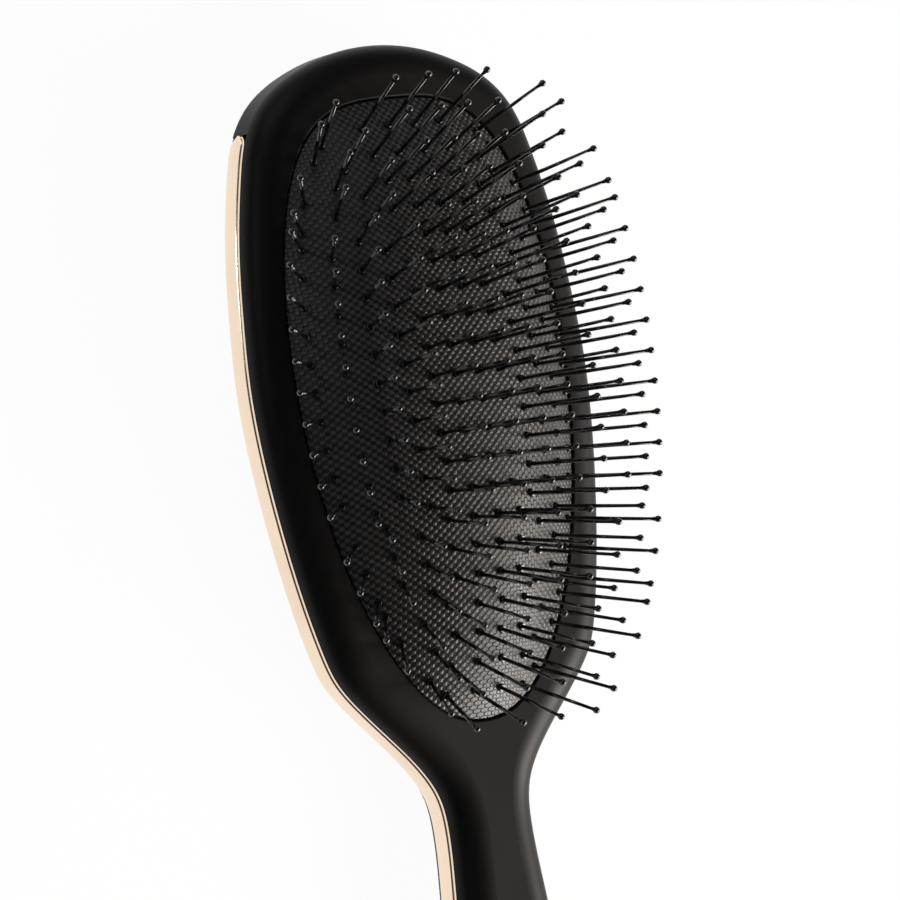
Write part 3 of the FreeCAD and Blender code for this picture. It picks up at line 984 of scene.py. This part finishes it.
@dataclass
class Cushion:
    """Domed rubber cushion on its flange."""

    opening: OpeningEgg
    gap: float = 0.0004
    foot: float = 0.0148
    dome_height: float = 0.0115
    dome_power: float = 2.48
    rubber: float = 0.0018
    side_share: float = 0.72
    foot_share: float = 0.7
    flange_reach: float = 0.002
    flange_top: float = 0.0124
    flange_low: float = 0.0109
    press_travel: float = 0.003
    fill: float = 1.0
    around: int = 240
    rings: int = 44
    least_ring_share: float = 0.02
    search_top: float = 2.0
    search_steps: int = 50
    slope_step: float = 0.00006
    finish: PippedRubberFinish = CUSHION_FINISH

    def build(self) -> list[Piece]:
        """Build the cushion.

        Returns:
            The cushion.
        """
        piece = dress(self._dome(), MAIN_BODY, Slot.CUSHION, "cushion")
        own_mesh(piece)
        return [piece]

    def height_at(self, x: float, y: float) -> float:
        """Give the outer face's height.

        Args:
            x: The place across the opening, from its middle.
            y: The place along the opening, from its middle.

        Returns:
            The height above the floor.
        """
        low, high = 0.0, self.search_top
        for _ in range(self.search_steps):
            scale = (low + high) / 2
            reach = scale * self.opening.width_at(y / scale, -self.gap)
            inside = abs(y) < scale * (self.opening.half_length - self.gap) and abs(x) < reach
            low, high = (low, scale) if inside else (scale, high)
        return self.foot + self.dome_height * (1.0 - high**self.dome_power)

    def normal_at(self, x: float, y: float) -> Vector:
        """Give the direction square to the outer face.

        Args:
            x: The place across the opening, from its middle.
            y: The place along the opening, from its middle.

        Returns:
            The direction, of length one.
        """
        step = self.slope_step
        slope_x = (self.height_at(x + step, y) - self.height_at(x - step, y)) / (2 * step)
        slope_y = (self.height_at(x, y + step) - self.height_at(x, y - step)) / (2 * step)
        return Vector((-slope_x, -slope_y, 1.0)).normalized()

    def _face(self, builder: SurfaceBuilder, inset: float, foot: float, height: float) -> Ring:
        """Stitch one face of the dome, from its foot to its top.

        Args:
            builder: The dome's builder.
            inset: How much smaller the face's foot is than the opening.
            foot: The height of its foot.
            height: How far it rises from there.

        Returns:
            The ring at its foot.
        """
        turns = quarter_turns(self.rings - 1)[::-1]
        shares = self.least_ring_share + (1.0 - self.least_ring_share) * np.sin(turns)
        rings = []
        for share in shares:
            level = foot + height * (1.0 - share**self.dome_power)
            rings.append(builder.ring(self.opening.ring(-inset, level, self.around, share)))
        builder.bands(rings)
        builder.fan(rings[-1], (0.0, self.opening.middle, foot + height))
        return rings[0]

    def _dome(self) -> Piece:
        """Build the dome with its side, flange and hollow.

        Returns:
            The dome.
        """
        builder = SurfaceBuilder("cushion_dome")
        inset = self.gap + self.side_share * self.rubber
        inner_foot = self.foot - self.foot_share * self.rubber
        inner_height = self.dome_height - (1.0 - self.foot_share) * self.rubber
        outer = self._face(builder, self.gap, self.foot, self.dome_height)
        inner = self._face(builder, inset, inner_foot, inner_height)
        corners = (
            (-self.gap, self.flange_top),
            (self.flange_reach, self.flange_top),
            (self.flange_reach, self.flange_low),
            (-inset, self.flange_low),
        )
        flange = [builder.ring(self.opening.ring(grow, height, self.around)) for grow, height in corners]
        builder.bands([outer, *flange, inner])
        return builder.finish(self.finish.material())


@dataclass
class BristleTree:
    """Geometry tree that sets a bristle on each foot of a row."""

    sizes: dict[str, float] = field(
        default_factory=lambda: {
            "Pin length": 0.018,
            "Root depth": 0.0016,
            "Collar radius": 0.0008,
            "Collar shoulder": 0.0006,
            "Collar height": 0.0006,
            "Shaft root": 0.00042,
            "Shaft neck": 0.00031,
            "Drop length": 0.0019,
            "Drop radius": 0.00052,
            "Ball radius": 0.00066,
        }
    )
    sides: int = 7
    ball_sides: int = 9
    ball_rings: int = 6

    @cached_property
    def bench(self) -> NodeBench:
        """Start the tree, with its own sockets in place.

        Returns:
            The tree's bench.
        """
        tree = bpy.data.node_groups.new("set_bristles", "GeometryNodeTree")
        tree.is_modifier = True
        bench = NodeBench(tree)
        bench.sockets("INPUT", "Geometry", "Geometry")
        bench.sockets("INPUT", "Float", *self.sizes)
        bench.sockets("INPUT", "Material", "Finish")
        bench.sockets("OUTPUT", "Geometry", "Geometry")
        return bench

    @cached_property
    def given(self) -> bpy.types.bpy_prop_collection:
        """Return the sockets of the tree's inputs."""
        return self.bench.node("NodeGroupInput").outputs

    def build(self) -> Tree:
        """Build the tree.

        Returns:
            The finished tree.
        """
        bench, given = self.bench, self.given
        lean = bench.node("GeometryNodeInputNamedAttribute", data_type="FLOAT_VECTOR")
        bench.fill(lean, Name="lean")
        turn = bench.node("FunctionNodeAlignRotationToVector", axis="Z")
        bench.fill(turn, Vector=lean.outputs[0])
        setting = bench.node("GeometryNodeInstanceOnPoints")
        points = bench.out("GeometryNodeMeshToPoints", Mesh=given["Geometry"])
        bench.fill(setting, Points=points, Instance=self._bristle(), Rotation=turn.outputs[0])
        real = bench.out("GeometryNodeRealizeInstances", Geometry=setting.outputs[0])
        finished = bench.out("GeometryNodeSetMaterial", Geometry=real, Material=given["Finish"])
        bench.fill(bench.node("NodeGroupOutput"), Geometry=finished)
        return bench.tree

    def _bristle(self) -> Socket:
        """Build one bristle along Z from its foot: collar, shaft, drop and ball.

        Returns:
            Its geometry.
        """
        bench, given = self.bench, self.given
        neck_height = bench.math("SUBTRACT", given["Pin length"], given["Drop length"])
        shaft_length = bench.math("ADD", neck_height, given["Root depth"])
        root = bench.math("MULTIPLY", given["Root depth"], -1.0)
        ball_height = bench.math("SUBTRACT", given["Pin length"], given["Ball radius"])
        drop_length = bench.math("SUBTRACT", ball_height, neck_height)
        ball = bench.node("GeometryNodeMeshUVSphere")
        bench.fill(ball, Segments=self.ball_sides, Rings=self.ball_rings, Radius=given["Ball radius"])
        parts = (
            self._cone("Collar radius", "Collar shoulder", given["Collar height"], 0.0),
            self._cone("Shaft root", "Shaft neck", shaft_length, root),
            self._cone("Shaft neck", "Drop radius", drop_length, neck_height),
            self._raised(self._smooth(ball), ball_height),
        )
        joined = bench.node("GeometryNodeJoinGeometry")
        for part in parts:
            bench.run(joined, part)
        return joined.outputs[0]

    def _cone(self, low: str, high: str, length: Feed, height: Feed) -> Socket:
        """Build a tapered run with smooth sides.

        Args:
            low: The name of the radius at its foot.
            high: The name of the radius at its top.
            length: Its length.
            height: The height of its foot.

        Returns:
            Its geometry.
        """
        cone = self.bench.node("GeometryNodeMeshCone")
        self.bench.fill(cone, Radius_Bottom=self.given[low], Radius_Top=self.given[high])
        self.bench.fill(cone, Vertices=self.sides, Depth=length)
        return self._raised(self._smooth(cone, cone.outputs["Side"]), height)

    def _smooth(self, made: Node, faces: Feed = True) -> Socket:
        """Return a made shape with the chosen faces shaded round and the others flat."""
        flat = self.bench.out("GeometryNodeSetShadeSmooth", Geometry=made.outputs["Mesh"], Shade_Smooth=False)
        return self.bench.out("GeometryNodeSetShadeSmooth", Geometry=flat, Selection=faces)

    def _raised(self, shape: Socket, height: Feed) -> Socket:
        """Return a shape raised by a height."""
        place = self.bench.out("ShaderNodeCombineXYZ", Z=height)
        return self.bench.out("GeometryNodeTransform", Geometry=shape, Translation=place)


@dataclass
class BristleField:
    """Rows of ball-tipped bristles set square to the cushion."""

    cushion: Cushion
    opening: OpeningEgg
    row_pitch: float = 0.0052
    spacing: float = 0.00485
    inset: float = 0.0026
    stagger_share: float = -0.45
    staggered: tuple[int, ...] = (2, 4)
    seat: float = 0.00008
    setter: BristleTree = field(default_factory=BristleTree)
    finish: PlasticFinish = BRISTLE_FINISH

    def build(self) -> list[Piece]:
        """Build the bristles.

        Returns:
            One piece for each row.
        """
        material = self.finish.material()
        tree = self.setter.build()
        pieces = []
        for number, places in enumerate(self._rows(), start=1):
            piece = self._row(f"bristles_{number:02d}", places, tree, material)
            node = f"bristle_row_{number:02d}"
            pieces.append(dress(piece, node, Slot.BRISTLE, node))
        return pieces

    def _rows(self) -> list[list[tuple[float, float]]]:
        """Place the bristles' feet.

        Returns:
            The feet of each row, from the neck to the crown.
        """
        each_way = int((self.opening.half_length - self.inset) / self.row_pitch)
        rows = []
        for row in range(-each_way, each_way + 1):
            row_y = row * self.row_pitch
            reach = float(self.opening.width_at(row_y, -self.inset))
            columns = max(1, round(reach / self.spacing + 1 / 2))
            places = []
            for column in range(columns):
                y = row_y + (self.stagger_share * self.row_pitch if column in self.staggered else 0.0)
                reach = float(self.opening.width_at(y, -self.inset))
                x = reach * (2 * column + 1) / (2 * columns - 1)
                places += [(-x, y), (x, y)]
            rows.append(places)
        return rows

    def _row(
        self, name: str, places: Sequence[tuple[float, float]], tree: Tree, material: Material
    ) -> Piece:
        """Set one row's bristles.

        Args:
            name: The piece's name.
            places: The bristles' feet, from the opening's middle.
            tree: The tree that sets them.
            material: Their material.

        Returns:
            The row as one plain mesh.
        """
        feet = []
        leans = []
        for x, y in places:
            lean = self.cushion.normal_at(x, y)
            foot = Vector((x, y + self.opening.middle, self.cushion.height_at(x, y)))
            feet.append(foot + lean * self.seat)
            leans.append(lean)
        data = bpy.data.meshes.new(f"{name}_feet")
        data.from_pydata(feet, [], [])
        lean_values = data.attributes.new("lean", "FLOAT_VECTOR", "POINT")
        lean_values.data.foreach_set("vector", np.array(leans, dtype=np.float32).ravel())
        source = add_object(f"{name}_feet", data)
        modifier = source.modifiers.new("set_bristles", "NODES")
        modifier.node_group = tree
        values = {**self.setter.sizes, "Finish": material}
        for item in tree.interface.items_tree:
            if item.name in values:
                modifier[item.identifier] = values[item.name]
        depsgraph = bpy.context.evaluated_depsgraph_get()
        mesh = bpy.data.meshes.new_from_object(source.evaluated_get(depsgraph))
        mesh.name = name
        source.modifiers.remove(modifier)
        bpy.data.objects.remove(source)
        return add_object(name, mesh)


@dataclass
class ClampRing:
    """Ring that clamps the cushion's flange from behind, kept as packed."""

    node: Piece
    finish: PlasticFinish = RING_FINISH

    def build(self) -> list[Piece]:
        """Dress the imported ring.

        Returns:
            The ring.
        """
        material = self.finish.material()
        for slot in self.node.material_slots:
            slot.material = material
        return [self.node]


@dataclass(frozen=True)
class Softbox:
    """A large soft lamp that faces the brush."""

    name: str
    place: Point
    width: float
    height: float
    power: float
    color: Color = (1.0, 1.0, 1.0)

    def build(self, target: Vector) -> None:
        """Hang the lamp.

        Args:
            target: The point that it faces.
        """
        data = bpy.data.lights.new(self.name, "AREA")
        data.shape = "RECTANGLE"
        data.size = self.width
        data.size_y = self.height
        data.energy = self.power
        data.color = self.color
        lamp = add_object(self.name, data)
        place = Vector(self.place)
        turn = (target - place).to_track_quat("-Z", "Y")
        lamp.matrix_world = Matrix.LocRotScale(place, turn, None)


@dataclass
class Studio:
    """White floor, soft lamps, a plain world and the camera."""

    floor_size: float = 8.0
    floor_gap: float = 0.0001
    floor_color: Color = (0.92, 0.92, 0.92)
    seen_white_share: float = 0.965
    world_strength: float = 0.045
    target: Point = (0.0, 0.045, 0.015)
    softboxes: tuple[Softbox, ...] = (
        Softbox(
            "right_softbox", (0.64, -0.44, 0.40), width=0.95, height=0.42, power=19.0, color=(1.0, 0.94, 0.89)
        ),
        Softbox(
            "upper_softbox", (-0.20, 0.84, 0.62), width=0.6, height=0.6, power=1.4, color=(0.90, 0.94, 1.0)
        ),
        Softbox("left_softbox", (-0.72, 0.3, 0.62), width=0.08, height=0.08, power=0.4),
    )
    camera_place: Point = (-0.6839, -0.0071, 1.0389)
    camera_degrees: Point = (7.9247, -33.0137, -10.5326)
    lens: float = 270.5
    sensor: float = 36.0
    near: float = 0.05

    def build(self) -> None:
        """Set up the whole studio."""
        bpy.context.scene.view_settings.view_transform = "Standard"
        self._floor()
        for softbox in self.softboxes:
            softbox.build(Vector(self.target))
        self._world()
        self._camera()

    def _floor(self) -> Piece:
        """Lay the floor, which is white with the brush's shadow from above and clear from below.

        Returns:
            The floor.
        """
        material = bpy.data.materials.new("studio_floor")
        material.use_nodes = True
        bench = NodeBench(material.node_tree)
        matte = bench.out("ShaderNodeBsdfDiffuse", Color=(*self.floor_color, 1.0))
        rays = bench.node("ShaderNodeLightPath").outputs
        mirrored = bench.math("MAXIMUM", rays["Is Glossy Ray"], rays["Is Transmission Ray"])
        seen = bench.math("MAXIMUM", rays["Is Camera Ray"], mirrored)
        share = bench.math("MULTIPLY", seen, self.seen_white_share)
        top = bench.layer(share, matte, bench.out("ShaderNodeEmission"))
        below = bench.node("ShaderNodeNewGeometry").outputs["Backfacing"]
        surface = bench.layer(below, top, bench.out("ShaderNodeBsdfTransparent"))
        bench.fill(bench.node("ShaderNodeOutputMaterial"), Surface=surface)
        half = self.floor_size / 2
        low = -self.floor_gap
        data = bpy.data.meshes.new("studio_floor")
        corners = [(-half, -half, low), (half, -half, low), (half, half, low), (-half, half, low)]
        data.from_pydata(corners, [], [(0, 1, 2, 3)])
        data.materials.append(material)
        return add_object("studio_floor", data)

    def _world(self) -> None:
        """Set an even dim world that the camera sees as white."""
        world = bpy.data.worlds.new("studio_world")
        bpy.context.scene.world = world
        world.use_nodes = True
        bench = NodeBench(world.node_tree)
        dim = bench.out("ShaderNodeBackground", Color=WHITE, Strength=self.world_strength)
        white = bench.out("ShaderNodeBackground", Color=WHITE, Strength=1.0)
        seen = bench.node("ShaderNodeLightPath").outputs["Is Camera Ray"]
        bench.fill(bench.node("ShaderNodeOutputWorld"), Surface=bench.layer(seen, dim, white))

    def _camera(self) -> None:
        """Place the camera."""
        data = bpy.data.cameras.new("studio_camera")
        data.sensor_width = self.sensor
        data.lens = self.lens
        data.clip_start = self.near
        camera = add_object("studio_camera", data)
        turn = Euler([math.radians(degrees) for degrees in self.camera_degrees])
        camera.matrix_world = Matrix.LocRotScale(Vector(self.camera_place), turn, None)
        bpy.context.scene.camera = camera


def main() -> None:
    """Build the brush and its studio."""
    logging.basicConfig(level=logging.INFO, format="%(name)s: %(message)s")
    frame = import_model()
    outline = BodyOutline()
    opening = OpeningEgg()
    cushion = Cushion(opening)
    assemblies = (
        BodyShells(outline, opening),
        TrimStrip(outline),
        cushion,
        BristleField(cushion, opening),
        ClampRing(frame["nodes"]["retainer_ring"]),
    )
    for assembly in assemblies:
        for piece in assembly.build():
            LOG.info("%s: %s, %d faces", type(assembly).__name__, piece.name, len(piece.data.polygons))
    Studio().build()
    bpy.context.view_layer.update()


if __name__ == "__main__":
    main()
